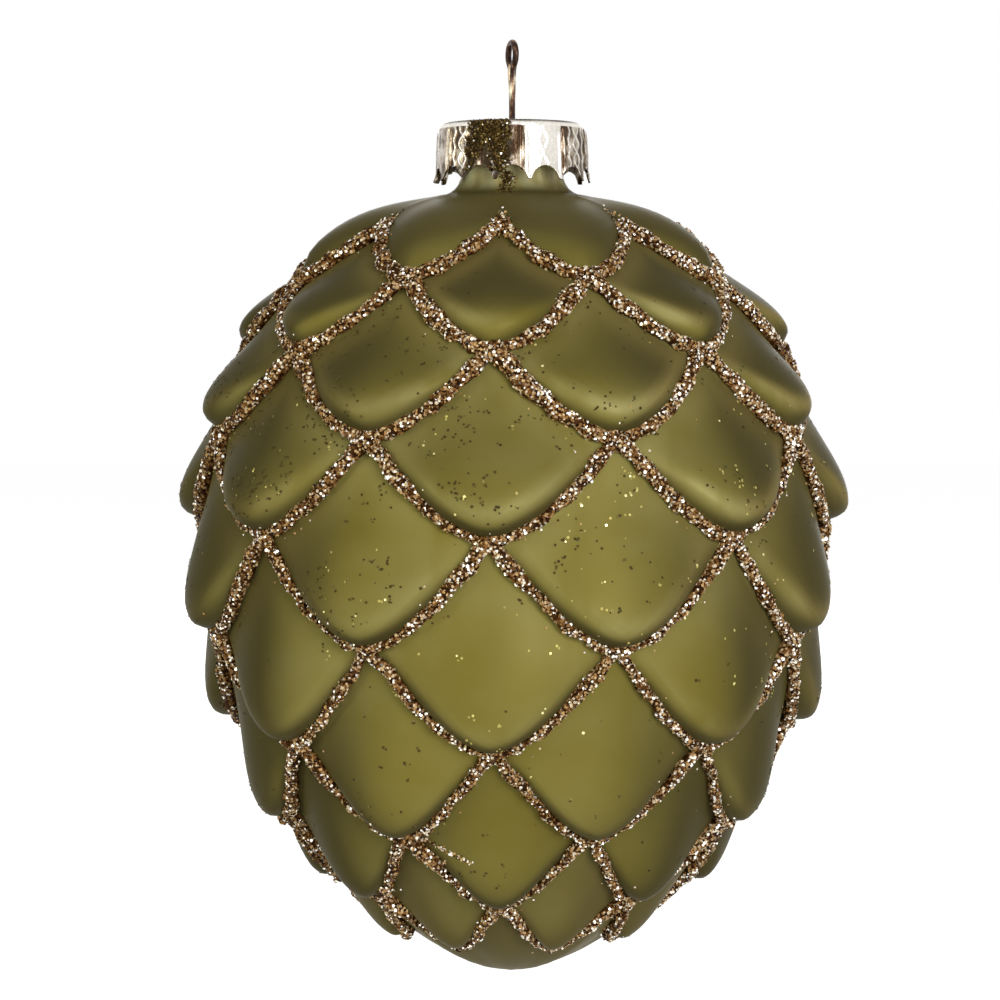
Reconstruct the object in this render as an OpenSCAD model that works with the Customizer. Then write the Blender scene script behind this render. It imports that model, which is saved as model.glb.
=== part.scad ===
// Blown glass pine cone, hung point down by a wire eye.
// Heights are worked out from the lowest point of the glass, and the finished pieces are then
// lowered so that the origin is where a hook bears, on the inside of the wire eye.

/* [Glass] */
// Width of the egg under the scales, at its widest
belly_d = 87.4; // [80:0.2:94]
// Height of the widest place
belly_z = 64.7; // [60:0.1:69]
// Height of the egg above its widest place
shoulder_rise = 48.2; // [45:0.1:52]
// How fast the lower half narrows, where 1 is an ellipse
lower_taper = 1.2; // [1:0.05:1.5]
// How far the closed end bulges below the egg
tip_bulge = 1.4; // [0.6:0.1:2]
// Thickness of the glass
wall = 1.1; // [0.8:0.1:1.6]

/* [Scales] */
// Scales in one ring
scales_around = 8; // [6:1:10]
// Turn of the scales round the cone, from the plane of the eye
scales_turn = -4; // [-22:1:22]
// Depth of the smooth crown above the first corners of the scales
crown_h = 6.8; // [6:0.1:9]
// Height of the lowest ring of scale tips
last_ring_z = 7; // [5:0.2:9]
// How far a scale of the widest ring stands out of the egg
relief = 4.7; // [2.5:0.1:5.5]
// How far the lobes under the neck stand out
crown_relief = 2.6; // [1:0.1:3]

/* [Neck] */
// Width of the neck at its mouth
neck_d = 14.6; // [13:0.2:16]
// Height of the neck above the shoulder
neck_h = 10; // [9.2:0.1:11]
// Radius of the flare where the neck meets the shoulder
neck_flare = 3.2; // [1.6:0.1:3.6]

/* [Glitter] */
// Height of the glitter bead over the groove it fills
bead_h = 1.3; // [0.8:0.1:1.8]

/* [Cap] */
// Width of the cap across its top
cap_d = 21; // [20:0.2:23]
// How much wider the skirt is at its hem
cap_flare = 0.9; // [0.4:0.1:1.4]
// Height of the skirt down to its points
cap_h = 8.4; // [7.6:0.1:8.8]
// Sheet thickness
sheet = 0.3; // [0.2:0.05:0.4]
// Radius of the rounded rim
rim_r = 0.8; // [0.5:0.1:1.4]
// Points round the hem
cap_points = 14; // [12:1:16]
// Width of the point left between two arches
point_w = 0.5; // [0.3:0.1:0.8]

/* [Hanger] */
// Wire thickness
wire_d = 0.9; // [0.7:0.05:1.1]
// Inside width of the eye
eye_d = 2.6; // [2.2:0.1:3.2]
// Turn of the eye from the plane of the legs
eye_turn = 17; // [0:1:40]
// Height of the hanger above the cap
hanger_h = 12; // [11:0.1:13]
// Gap between the two legs under the eye
shank_gap = 0.1; // [0.05:0.05:0.3]
// Distance between the two legs in the cap, centre to centre
leg_gap = 2.4; // [2.2:0.1:2.8]
// Bend radius under the eye
bend_r = 1.5; // [1.2:0.1:1.8]
// Gap between a leg and the neck that it springs against
leg_clearance = 0.2; // [0.1:0.05:0.3]
// Gap round a leg in its hole
hole_clearance = 0.2; // [0.1:0.05:0.3]

/* [Hidden] */
$fn = 64;

// Rings of scale tips, counted downwards from the ring of the top corners
rings_above = 4;
rings_below = 5;
last_ring = rings_above + rings_below;
pitch = 360 / scales_around;
half = pitch / 2;

// The egg, as an angle from its widest place: negative above and positive below
egg_low = belly_z - tip_bulge;
top_angle = asin((shoulder_rise - crown_h) / shoulder_rise);
last_angle = asin((belly_z - last_ring_z) / egg_low);
// The rings above the widest place stand a little closer together towards the neck
crowding = 0.95;
function ring_angle(k) = k < rings_above
  ? -top_angle * pow((rings_above - k) / rings_above, crowding)
  : (k - rings_above) * last_angle / rings_below;
function egg(t) = t < 0
  ? [belly_d / 2 * cos(t), belly_z - shoulder_rise * sin(t)]
  : [belly_d / 2 * pow(cos(t), lower_taper), belly_z - egg_low * sin(t)];
// Outward direction, square to the egg
function egg_out(t) =
  let (
    taper = t < 0 ? 1 : lower_taper,
    slope = -belly_d / 2 * taper * pow(max(cos(t), 0), taper - 1) * sin(t),
    drop = (t < 0 ? shoulder_rise : egg_low) * cos(t),
    long = norm([drop, slope])
  )
  long > 0.001 ? [drop, slope] / long : [0, -1];

// A point of the skin, lifted off the egg. It is rounded to 0.001 so that patches share their edges.
function snapped(p) = [for (v = p) round(v * 1000) / 1000];
function around(turn, r, z) = snapped([r * sin(turn + scales_turn), -r * cos(turn + scales_turn), z]);
function skin(turn, t, lift) =
  let (
    base = egg(t),
    out = egg_out(t)
  )
  around(turn, base[0] + lift * out[0], base[1] + lift * out[1]);

// Rise over a scale, from its hidden upper edge at 0 over the crest to its lip at 1
crest = 0.72;
function rise(x) = x < crest
  ? pow(sin(90 * x / crest), 1.5)
  : 1 - pow((x - crest) / (1 - crest), 3);
// A narrower scale stands out less
function scale_relief(k) = relief * egg(ring_angle(k - 1))[0] / (belly_d / 2);

// The lip hangs in a round curve between its corner at 0 and its tip at 1
lip_roundness = 0.8;
function sag(x) = (1 - lip_roundness) * x + lip_roundness * sin(90 * x);
function mix(a, b, x) = a + (b - a) * x;
function edge_angle(k, x) = mix(ring_angle(k - 1), ring_angle(k), sag(x));

// Stations along an edge, and across a scale. The second and the last but one across are the feet
// of the bead.
edge_steps = [0, 0.12, 0.36, 0.64, 0.88, 1];
scale_steps = [0, 0.05, 0.42, 0.76, 0.935, 1];
inner_edge_steps = [0, 0.33, 0.67, 1];
inner_scale_steps = [0, 0.4, 0.78, 1];

// One scale is a four-sided patch: its top corner is at u = v = 0 and its tip at u = v = 1.
function patch_angle(k, u, v) =
  let (
    top = ring_angle(k - 2),
    side = ring_angle(k - 1),
    tip = ring_angle(k)
  )
  mix(edge_angle(k - 1, u), edge_angle(k, u), v)
  + mix(edge_angle(k - 1, v), edge_angle(k, v), u)
  - mix(mix(top, side, u), mix(side, tip, u), v);
function scale_middle(k, i) = i * pitch + (k % 2) * half;
function patch(k, i, edge, across, edge_lift, depth) =
  let (n = len(edge) - 1)
  [
    for (a = [0:n], b = [0:n])
      let (
        rim = a == 0 || a == n || b == 0 || b == n,
        u = b == 0 || b == n ? edge[a] : across[a],
        v = a == 0 || a == n ? edge[b] : across[b],
        lift = (rim ? edge_lift : scale_relief(k) * rise(u) * rise(v)) - depth
      )
      skin(scale_middle(k, i) + half * (u - v), patch_angle(k, u, v), lift)
  ];

// A band runs all round between the wavy line of the lips of ring k and a level ring, as rows of
// points: row 0 is on the lips and row 1 would be on the level ring.
crown_rows = [0, 0.055, 0.18, 0.5, 1];
tip_rows = [0, 0.055, 0.4, 0.75];
inner_crown_rows = [0, 0.25, 1];
inner_tip_rows = [0, 0.5];
// Height of the saddle between two lobes of the top band, as a share of a lobe
lobe_saddle = 0.45;
function lip_place(k, edge, c) =
  let (
    n = len(edge) - 1,
    j = c % (2 * n),
    side = j < n ? -1 : 1,
    x = edge[j < n ? j : 2 * n - j]
  )
  [scale_middle(k, floor(c / (2 * n))) + side * half * (1 - x), edge_angle(k, x), x];
// The top band swells into one lobe over each scale, and the bottom band into the closed end.
function band_lift(k, row, x) = k == 1
  ? crown_relief * rise(1 - row) * mix(lobe_saddle, 1, pow(sin(90 * x), 2))
  : tip_bulge * sin(90 * row);
function band(k, edge, rows, level, edge_lift, depth) =
  let (columns = 2 * (len(edge) - 1) * scales_around)
  [
    for (row = rows, c = [0:columns - 1])
      let (
        place = lip_place(k, edge, c),
        lift = row == 0 ? edge_lift : band_lift(k, row, place[2])
      )
      skin(place[0], mix(place[1], level, row), lift - depth)
  ];

// Neck rings from the shoulder to the mouth, as [radius, height]
root_r = neck_d / 2 + neck_flare;
root_angle = -acos(root_r / (belly_d / 2));
root_z = egg(root_angle)[1];
mouth_z = root_z + neck_h;
flare_steps = [30, 60, 90];
neck_profile = concat(
  [for (a = flare_steps) [root_r - neck_flare * sin(a), root_z + neck_flare * (1 - cos(a))]],
  [[neck_d / 2, mouth_z]]
);
function ring(r, z, columns) = [for (c = [0:columns - 1]) around(c * 360 / columns - half, r, z)];

// Faces, turned outwards
function quad(a, b, c, d) = [[a, b, c], [a, c, d]];
function strip(first, second, columns) = [
  for (c = [0:columns - 1])
    let (e = (c + 1) % columns)
    each quad(first + c, first + e, second + e, second + c)
];
// Joins a ring of many points to one of fewer
function stitch(first, many, second, few) = concat(
  [for (i = [0:many - 1]) [first + i, first + (i + 1) % many, second + floor((i + 0.5) * few / many + 0.5) % few]],
  [for (j = [0:few - 1]) [second + (j + 1) % few, second + j, first + ceil((j + 0.5) * many / few - 0.5) % many]]
);
function patch_faces(n, only_rim = false) = [
  for (a = [0:n - 1], b = [0:n - 1])
    if (!only_rim || a == 0 || a == n - 1 || b == 0 || b == n - 1)
      let (p = a * (n + 1) + b)
      each quad(p, p + 1, p + n + 2, p + n + 1)
];

// A mesh is a list of points and a list of faces.
function inward(mesh) = [mesh[0], [for (f = mesh[1]) [f[0], f[2], f[1]]]];
function moved(faces, by) = [for (f = faces) [for (v = f) v + by]];
function joined(meshes, i = 0, points = [], faces = []) = i == len(meshes)
  ? [points, faces]
  : joined(meshes, i + 1, concat(points, meshes[i][0]), concat(faces, moved(meshes[i][1], len(points))));
module solid(meshes) {
  whole = joined(meshes);
  polyhedron(points = whole[0], faces = whole[1], convexity = 6);
}

// One side of the glass is its scales, crown and closed end: the outside at depth 0 and the inside
// at the depth of the wall.
function scales(edge, across, depth) = [
  for (k = [2:last_ring], i = [0:scales_around - 1])
    [patch(k, i, edge, across, 0, depth), patch_faces(len(edge) - 1)]
];
function crown(edge, rows, depth) =
  let (
    columns = 2 * (len(edge) - 1) * scales_around,
    neck_columns = columns / 2,
    last = (len(rows) - 1) * columns,
    neck = last + columns
  )
  [
    concat(
      band(1, edge, rows, root_angle, 0, depth),
      [for (p = neck_profile) each ring(p[0] - depth, p[1], neck_columns)]
    ),
    concat(
      [for (row = [0:len(rows) - 2]) each strip(row * columns, (row + 1) * columns, columns)],
      stitch(last, columns, neck, neck_columns),
      [
        for (row = [0:len(neck_profile) - 2])
          each strip(neck + row * neck_columns, neck + (row + 1) * neck_columns, neck_columns)
      ]
    )
  ];
function closed_end(edge, rows, depth) =
  let (
    columns = 2 * (len(edge) - 1) * scales_around,
    last = (len(rows) - 1) * columns,
    pole = last + columns
  )
  [
    concat(band(last_ring, edge, rows, 90, 0, depth), [skin(0, 90, tip_bulge - depth)]),
    concat(
      [for (row = [0:len(rows) - 2]) each strip((row + 1) * columns, row * columns, columns)],
      [for (c = [0:columns - 1]) [pole, last + (c + 1) % columns, last + c]]
    )
  ];
// The flat rim of the mouth joins the two sides.
function mouth(many, few) = [
  concat(ring(neck_d / 2, mouth_z, many), ring(neck_d / 2 - wall, mouth_z, few)),
  stitch(0, many, many, few)
];

module glass_shell() {
  outer_mouth = (len(edge_steps) - 1) * scales_around;
  inner_mouth = (len(inner_edge_steps) - 1) * scales_around;
  outside = concat(
    scales(edge_steps, scale_steps, 0),
    [crown(edge_steps, crown_rows, 0), closed_end(edge_steps, tip_rows, 0)]
  );
  inside = concat(
    scales(inner_edge_steps, inner_scale_steps, wall),
    [crown(inner_edge_steps, inner_crown_rows, wall), closed_end(inner_edge_steps, inner_tip_rows, wall)]
  );
  color([0.49, 0.47, 0.2])
    solid(concat(outside, [for (m = inside) inward(m)], [mouth(outer_mouth, inner_mouth)]));
}

// The bead fills the groove along every lip. Its underside is the glass itself, and its ridge stands
// over the groove.
function bead_sheet(lift) =
  let (
    n = len(edge_steps) - 1,
    columns = 2 * n * scales_around,
    top = band(1, edge_steps, [crown_rows[0], crown_rows[1]], root_angle, lift, 0),
    bottom = band(last_ring, edge_steps, [tip_rows[0], tip_rows[1]], 90, lift, 0)
  )
  concat(
    [
      for (k = [2:last_ring], i = [0:scales_around - 1])
        [patch(k, i, edge_steps, scale_steps, lift, 0), patch_faces(n, true)]
    ],
    [[top, strip(0, columns, columns)], [bottom, strip(columns, 0, columns)]]
  );
module glitter_trim() {
  color([0.72, 0.45, 0.27])
    solid(concat(bead_sheet(bead_h), [for (m = bead_sheet(0)) inward(m)]));
}

// A drawn cap of thin sheet, open below, with arches cut into its hem and two holes for the legs.
// The arches' centres lie a little below the hem, which blunts the points.
arch_drop = 0.3;
cut_spare = 1;
module cap_outline(top_r, hem_r, low, high, round_r) {
  polygon(concat(
    [[0, low], [hem_r, low]],
    [for (a = [0:15:90]) [top_r - round_r + round_r * cos(a), high - round_r + round_r * sin(a)]],
    [[0, high]]
  ));
}
module crown_cap() {
  top_z = mouth_z + sheet;
  hem_z = top_z - cap_h;
  top_r = cap_d / 2;
  hem_r = (cap_d + cap_flare) / 2;
  arch_r = (2 * PI * hem_r / cap_points - point_w) / 2;
  color([0.83, 0.78, 0.7])
    difference() {
      rotate_extrude()
        difference() {
          cap_outline(top_r, hem_r, hem_z, top_z, rim_r);
          cap_outline(top_r - sheet, hem_r - sheet, hem_z - cut_spare, mouth_z, rim_r - sheet);
        }
      for (i = [0:cap_points - 1])
        rotate([0, 0, i * 360 / cap_points])
          translate([0, cut_spare - hem_r, hem_z - arch_drop])
            rotate([90, 0, 0])
              cylinder(r = arch_r, h = 2 * cut_spare);
      for (side = [-1, 1])
        translate([0, side * leg_gap / 2, mouth_z - cut_spare])
          cylinder(d = wire_d + 2 * hole_clearance, h = sheet + 2 * cut_spare);
    }
}

// The wire is a flat track of [y, z, heading] in the plane x = 0. A track is walked from a list of
// straight lengths and [radius, angle] bends, where a positive angle turns it downwards.
wire_sides = 8;
bend_step = 30;
function walked(steps, i, here) = i == len(steps)
  ? [here]
  : is_num(steps[i])
    ? concat([here], walked(steps, i + 1, ahead(here, steps[i])))
    : let (
        r = steps[i][0],
        turn = steps[i][1],
        n = ceil(abs(turn) / bend_step)
      )
      concat(
        [for (j = [0:n - 1]) bent(here, r, turn * j / n)],
        walked(steps, i + 1, bent(here, r, turn))
      );
function ahead(at, by) = [at[0] + by * cos(at[2]), at[1] + by * sin(at[2]), at[2]];
function bent(at, r, turn) =
  let (
    way = turn < 0 ? -1 : 1,
    h = at[2] - turn
  )
  [
    at[0] + way * r * (sin(at[2]) - sin(h)),
    at[1] - way * r * (cos(at[2]) - cos(h)),
    h
  ];
// The track is twisted round the upright axis from straight, at the height low, to the turn of the
// eye, at the height high.
module tube(track, low, high) {
  last = len(track) - 1;
  points = [
    for (at = track, s = [0:wire_sides - 1])
      let (
        a = s * 360 / wire_sides,
        x = wire_d / 2 * sin(a),
        y = at[0] - wire_d / 2 * cos(a) * sin(at[2]),
        z = at[1] + wire_d / 2 * cos(a) * cos(at[2]),
        twist = eye_turn * min(max((at[1] - low) / (high - low), 0), 1)
      )
      [x * cos(twist) - y * sin(twist), x * sin(twist) + y * cos(twist), z]
  ];
  faces = concat(
    [for (i = [0:last - 1]) each strip(i * wire_sides, (i + 1) * wire_sides, wire_sides)],
    [[for (s = [wire_sides - 1:-1:0]) s], [for (s = [0:wire_sides - 1]) last * wire_sides + s]]
  );
  polyhedron(points = points, faces = faces, convexity = 6);
}

// The legs run side by side under the eye and part above the cap. Inside the neck a leg springs out
// to the glass, runs down it and spreads below the shoulder.
shank_steps = 2;
part_r = 3;
part_end = 0.4;
spring_start = 1.5;
spring_r = 4;
spread_start = 3;
spread_bend = 60;
spread_end = 3;
module hanger_wire() {
  eye_r = (eye_d + wire_d) / 2;
  crown_z = mouth_z + sheet + hanger_h - wire_d / 2;
  // The reverse bend under the eye ends with the leg upright, close to the other one.
  shank_y = (wire_d + shank_gap) / 2;
  wrap = 180 - asin((shank_y + bend_r) / (eye_r + bend_r));
  shank_top_z = crown_z - eye_r + (eye_r + bend_r) * cos(wrap);
  part_bend = acos(1 - (leg_gap / 2 - shank_y) / (2 * part_r));
  part_z = mouth_z + sheet + part_end;
  shank_end_z = part_z + 2 * part_r * sin(part_bend);
  spring_y = neck_d / 2 - wall - leg_clearance - wire_d / 2;
  spring_bend = acos(1 - (spring_y - leg_gap / 2) / (2 * spring_r));
  spring_end_z = mouth_z - spring_start - 2 * spring_r * sin(spring_bend);
  half_track = walked(
    [
      [eye_r, wrap],
      [bend_r, 90 - wrap],
      each [for (i = [1:shank_steps]) (shank_top_z - shank_end_z) / shank_steps],
      [part_r, -part_bend],
      [part_r, part_bend],
      part_z - mouth_z + spring_start,
      [spring_r, -spring_bend],
      [spring_r, spring_bend],
      spring_end_z - root_z + spread_start,
      [spring_r, -spread_bend],
      spread_end
    ],
    0,
    [0, crown_z, 0]
  );
  other_half = [for (i = [len(half_track) - 1:-1:1]) [-half_track[i][0], half_track[i][1], -half_track[i][2]]];
  color([0.5, 0.33, 0.2])
    tube(concat(other_half, half_track), shank_end_z, shank_top_z);
}

// The origin is on the inside of the eye, where a hook bears.
module hung() {
  translate([0, 0, wire_d - hanger_h - sheet - mouth_z])
    children();
}
hung() glass_shell();
hung() glitter_trim();
hung() crown_cap();
hung() hanger_wire();
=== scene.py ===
import math
import random

import bmesh
import bpy
import numpy as np
from mathutils import Matrix, Vector, noise
from mathutils.bvhtree import BVHTree


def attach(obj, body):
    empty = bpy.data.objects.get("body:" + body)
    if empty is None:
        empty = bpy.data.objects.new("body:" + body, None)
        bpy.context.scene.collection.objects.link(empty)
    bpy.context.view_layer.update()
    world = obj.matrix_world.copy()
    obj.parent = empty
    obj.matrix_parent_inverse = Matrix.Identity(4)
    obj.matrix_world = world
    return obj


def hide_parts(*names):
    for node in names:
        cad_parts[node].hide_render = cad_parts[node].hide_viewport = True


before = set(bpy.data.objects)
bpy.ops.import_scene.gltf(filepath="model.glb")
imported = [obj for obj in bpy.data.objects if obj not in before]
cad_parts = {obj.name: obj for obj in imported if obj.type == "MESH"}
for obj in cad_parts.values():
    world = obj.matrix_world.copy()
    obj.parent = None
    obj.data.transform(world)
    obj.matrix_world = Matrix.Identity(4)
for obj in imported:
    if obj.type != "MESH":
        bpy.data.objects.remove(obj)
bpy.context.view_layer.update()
mm = 0.001
scene = bpy.context.scene
print("frame loaded:", ", ".join(sorted(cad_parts)))


class Tree:
    # the nodes of a material or a world; build() takes a node's type, its settings and its sockets
    def __init__(self, name, library=bpy.data.materials):
        self.owner = library.new(name)
        self.owner.use_nodes = True
        self.nodes = self.owner.node_tree.nodes
        self.links = self.owner.node_tree.links
        self.nodes.clear()

    def build(self, kind, settings=None, out=0, **sockets):
        node = self.nodes.new("ShaderNode" + kind)
        for key, value in (settings or {}).items():
            if key == "stops":
                setStops(node.color_ramp, value)
            else:
                setattr(node, key, value)
        for key, value in sockets.items():
            # in2 is the third socket, and Base_Color the one of that name
            numbered = key.startswith("in") and key[2:].isdigit()
            socket = node.inputs[int(key[2:]) if numbered else key.replace("_", " ")]
            if isinstance(value, Value):
                self.links.new(value.socket, socket)
            elif isinstance(value, tuple) and socket.type == "RGBA" and len(value) == 3:
                socket.default_value = (*value, 1)
            else:
                socket.default_value = value
        return Value(self, node.outputs[out])

    def mixColour(self, factor, first, second):
        return self.build("Mix", {"data_type": "RGBA"}, 2, in0=factor, in6=first, in7=second)

    def mixShader(self, factor, first, second):
        return self.build("MixShader", in0=factor, in1=first, in2=second)

    def ramp(self, value, stops):
        return self.build("ValToRGB", {"stops": stops}, Fac=value)

    def attribute(self, name):
        return self.build("Attribute", {"attribute_name": name}, "Fac")

    def objectPlace(self, stretch=(1, 1, 1)):
        return self.build("Mapping", Vector=self.build("TexCoord", out="Object"), Scale=stretch)

    def noise(self, place, scale, detail=2.0, roughness=0.5):
        return self.build("TexNoise", Vector=place, Scale=scale, Detail=detail, Roughness=roughness)

    def seenPlain(self):
        # 1 for rays from the camera, and for those that mirror or pass on what it sees
        path = self.build("LightPath", out="Is Camera Ray")
        outputs = path.socket.node.outputs
        glossy, through = (Value(self, outputs[name]) for name in ("Is Glossy Ray", "Is Transmission Ray"))
        return path.atLeast(glossy).atLeast(through)

    def output(self, shader):
        kind = "World" if isinstance(self.owner, bpy.types.World) else "Material"
        node = self.nodes.new("ShaderNodeOutput" + kind)
        self.links.new(shader.socket, node.inputs["Surface"])
        return self.owner


class Value:
    # a node's output that can be used in sums
    def __init__(self, tree, socket):
        self.tree = tree
        self.socket = socket

    def maths(self, operation, first, second):
        return self.tree.build("Math", {"operation": operation}, in0=first, in1=second)

    def __add__(self, other):
        return self.maths("ADD", self, other)

    def __radd__(self, other):
        return self.maths("ADD", other, self)

    def __sub__(self, other):
        return self.maths("SUBTRACT", self, other)

    def __rsub__(self, other):
        return self.maths("SUBTRACT", other, self)

    def __mul__(self, other):
        return self.maths("MULTIPLY", self, other)

    def __rmul__(self, other):
        return self.maths("MULTIPLY", other, self)

    def atLeast(self, other):
        return self.maths("MAXIMUM", self, other)

    def between(self, low, high):
        # 0 below low and 1 above high, smoothly
        smooth = {"interpolation_type": "SMOOTHSTEP"}
        return self.tree.build("MapRange", smooth, Value=self, From_Min=low, From_Max=high)


def setStops(ramp, stops):
    while len(ramp.elements) < len(stops):
        ramp.elements.new(0.5)
    for element, (place, colour) in zip(ramp.elements, stops):
        element.position = place
        element.color = (*colour, 1)


def finishPiece(bm, name, material, node, smooth=True):
    mesh = bpy.data.meshes.new(name)
    bm.to_mesh(mesh)
    bm.free()
    return placePiece(mesh, name, material, node, smooth)


def placePiece(mesh, name, material, node, smooth):
    mesh.transform(Matrix.Scale(mm, 4))
    mesh.materials.append(material)
    mesh.polygons.foreach_set("use_smooth", [smooth] * len(mesh.polygons))
    piece = bpy.data.objects.new(name, mesh)
    scene.collection.objects.link(piece)
    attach(piece, "root")
    if node:
        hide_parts(node)
    print(f"{name}: {sum(len(p.vertices) - 2 for p in mesh.polygons)} triangles")
    return piece


def mix(a, b, x):
    return a + (b - a) * x


def hump(x, middle, width):
    return math.exp(-((x - middle) / width) ** 2)


def cosd(a):
    return math.cos(math.radians(a))


def sind(a):
    return math.sin(math.radians(a))


def asind(x):
    return math.degrees(math.asin(x))


def acosd(x):
    return math.degrees(math.acos(x))


def halfTurn(a):
    # the same direction, from -180 to 180 degrees
    return (a + 180) % 360 - 180


# the cone's form, in millimetres from the lowest point of the glass
cone = {
    "bellyWidth": 87.4, "bellyHeight": 64.7, "shoulderRise": 48.2, "lowerTaper": 1.2, "tipBulge": 1.4, "wall": 1.1,
    "scalesAround": 8, "scalesTurn": -4, "ringsAbove": 4, "ringsBelow": 5, "crowding": 0.95,
    "crownHeight": 6.8, "lastRingHeight": 7, "relief": 4.7, "crownRelief": 2.6, "lobeSaddle": 0.45,
    "crest": 0.72, "lipRoundness": 0.8, "neckWidth": 14.6, "neckHeight": 10, "neckFlare": 3.2,
    "scaleSteps": 18, "lobeSteps": 14, "endSteps": 8,
}
ringCount = cone["ringsAbove"] + cone["ringsBelow"]
pitch = 360 / cone["scalesAround"]
eggLow = cone["bellyHeight"] - cone["tipBulge"]
bellyRadius = cone["bellyWidth"] / 2
topAngle = asind((cone["shoulderRise"] - cone["crownHeight"]) / cone["shoulderRise"])
lastAngle = asind((cone["bellyHeight"] - cone["lastRingHeight"]) / eggLow)


def ringAngle(k):
    above = cone["ringsAbove"]
    if k < above:
        return -topAngle * ((above - k) / above) ** cone["crowding"]
    return (k - above) * lastAngle / cone["ringsBelow"]


def egg(t):
    # radius and height of the plain egg at an angle, which is 0 at the belly and 90 at the tip
    if t < 0:
        return bellyRadius * cosd(t), cone["bellyHeight"] - cone["shoulderRise"] * sind(t)
    return bellyRadius * max(cosd(t), 0) ** cone["lowerTaper"], cone["bellyHeight"] - eggLow * sind(t)


def eggOut(t):
    taper = 1 if t < 0 else cone["lowerTaper"]
    slope = -bellyRadius * taper * max(cosd(t), 0) ** (taper - 1) * sind(t)
    drop = (cone["shoulderRise"] if t < 0 else eggLow) * cosd(t)
    long = math.hypot(drop, slope)
    return (drop / long, slope / long) if long > 0.001 else (0, -1)


# what the neck carries is hung from the top of the wire's eye, which is the origin
hanger = {
    "wire": 0.9, "eye": 2.6, "eyeTurn": 17, "height": 12, "shankGap": 0.1, "legGap": 2.4,
    "bend": 1.5, "partBend": 3, "springBend": 4, "footBend": 60, "footLength": 3, "legClearance": 0.2, "sides": 14,
}
sheetThickness = 0.3
rootRadius = cone["neckWidth"] / 2 + cone["neckFlare"]
rootAngle = -acosd(rootRadius / bellyRadius)
rootHeight = egg(rootAngle)[1]
mouthHeight = rootHeight + cone["neckHeight"]
hungBy = hanger["wire"] - hanger["height"] - sheetThickness - mouthHeight
capTop = mouthHeight + sheetThickness + hungBy


def around(turn, radius, height):
    a = turn + cone["scalesTurn"]
    return Vector((radius * sind(a), -radius * cosd(a), height + hungBy))


def skin(turn, t, lift):
    r, z = egg(t)
    x, y = eggOut(t)
    return around(turn, r + lift * x, z + lift * y)


def skinOut(turn, t):
    x, y = eggOut(t)
    a = turn + cone["scalesTurn"]
    return Vector((x * sind(a), -x * cosd(a), y))


def rise(x):
    # a scale's height from its root at 0, over its crest and down to its lip at 1
    crest = cone["crest"]
    if x < crest:
        return max(sind(90 * x / crest), 0) ** 1.5
    return 1 - ((x - crest) / (1 - crest)) ** 3


def scaleRelief(k):
    return cone["relief"] * egg(ringAngle(k - 1))[0] / bellyRadius


def edgeAngle(k, x):
    sag = mix(x, sind(90 * x), cone["lipRoundness"])
    return mix(ringAngle(k - 1), ringAngle(k), sag)


def patchAngle(k, u, v):
    top, side, tip = ringAngle(k - 2), ringAngle(k - 1), ringAngle(k)
    return (mix(edgeAngle(k - 1, u), edgeAngle(k, u), v) + mix(edgeAngle(k - 1, v), edgeAngle(k, v), u)
            - mix(mix(top, side, u), mix(side, tip, u), v))


def scaleMiddle(k, i):
    return i * pitch + (k % 2) * pitch / 2


def onScale(k, i, u, v):
    # a point of scale i in ring k, whose root is at u = v = 0 and whose tip is at u = v = 1
    turn = scaleMiddle(k, i) + pitch / 2 * (u - v)
    return skin(turn, patchAngle(k, u, v), scaleRelief(k) * rise(u) * rise(v))


def satinGlass():
    tree = Tree("satin_olive_glass")
    glow, pool, neck = (tree.attribute(name) for name in ("glow", "pool", "neck"))
    cloud = tree.noise(tree.objectPlace((1, 1, 1.6)), 38, 3, 0.6)
    streak = tree.noise(tree.objectPlace((1, 1, 0.35)), 160, 2, 0.5)
    olive = tree.ramp(cloud, [(0.32, (0.26, 0.22, 0.038)), (0.5, (0.29, 0.25, 0.054)), (0.68, (0.32, 0.285, 0.085))])
    # painted highlight lightens the colour on the scale crests and rims, and painted shade darkens it in the grooves
    # and in a few patches
    colour = tree.mixColour(glow * streak.between(0.25, 0.55), olive, (0.52, 0.48, 0.18))
    colour = tree.mixColour(pool * 0.62, colour, (0.055, 0.044, 0.016))
    bump = tree.build("Bump", Strength=0.08, Distance=0.0004, Height=streak)
    face = tree.build("BsdfPrincipled", Base_Color=colour, Roughness=0.38, Metallic=0.05, Normal=bump,
                      Specular_IOR_Level=0.1, Specular_Tint=(0.5, 0.5, 0.35))
    # edge on, one looks through more of the tinted wall; the painted highlight lightens this deeper tint as well
    thick = tree.mixColour(glow, (0.11, 0.092, 0.028), (0.36, 0.29, 0.09))
    deep = tree.build("BsdfPrincipled", Base_Color=thick, Roughness=0.42, Normal=bump, Specular_IOR_Level=0.02)
    edge = tree.build("LayerWeight", out="Facing", Blend=0.5).between(0.03, 0.5)
    satin = tree.mixShader(edge, face, deep)
    # the neck is painted pale, with painted highlights in upright streaks
    upright = tree.noise(tree.objectPlace((1, 1, 0.12)), 420, 1, 0.5)
    painted_neck_light = tree.ramp(upright, [(0.42, (0.64, 0.57, 0.26)), (0.53, (0.94, 0.86, 0.45)), (0.63, (1.0, 1.0, 0.58))])
    clear = tree.build("BsdfPrincipled", Base_Color=painted_neck_light, Roughness=0.25, Specular_IOR_Level=0.5)
    return tree.output(tree.mixShader(neck, satin, clear))


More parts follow.
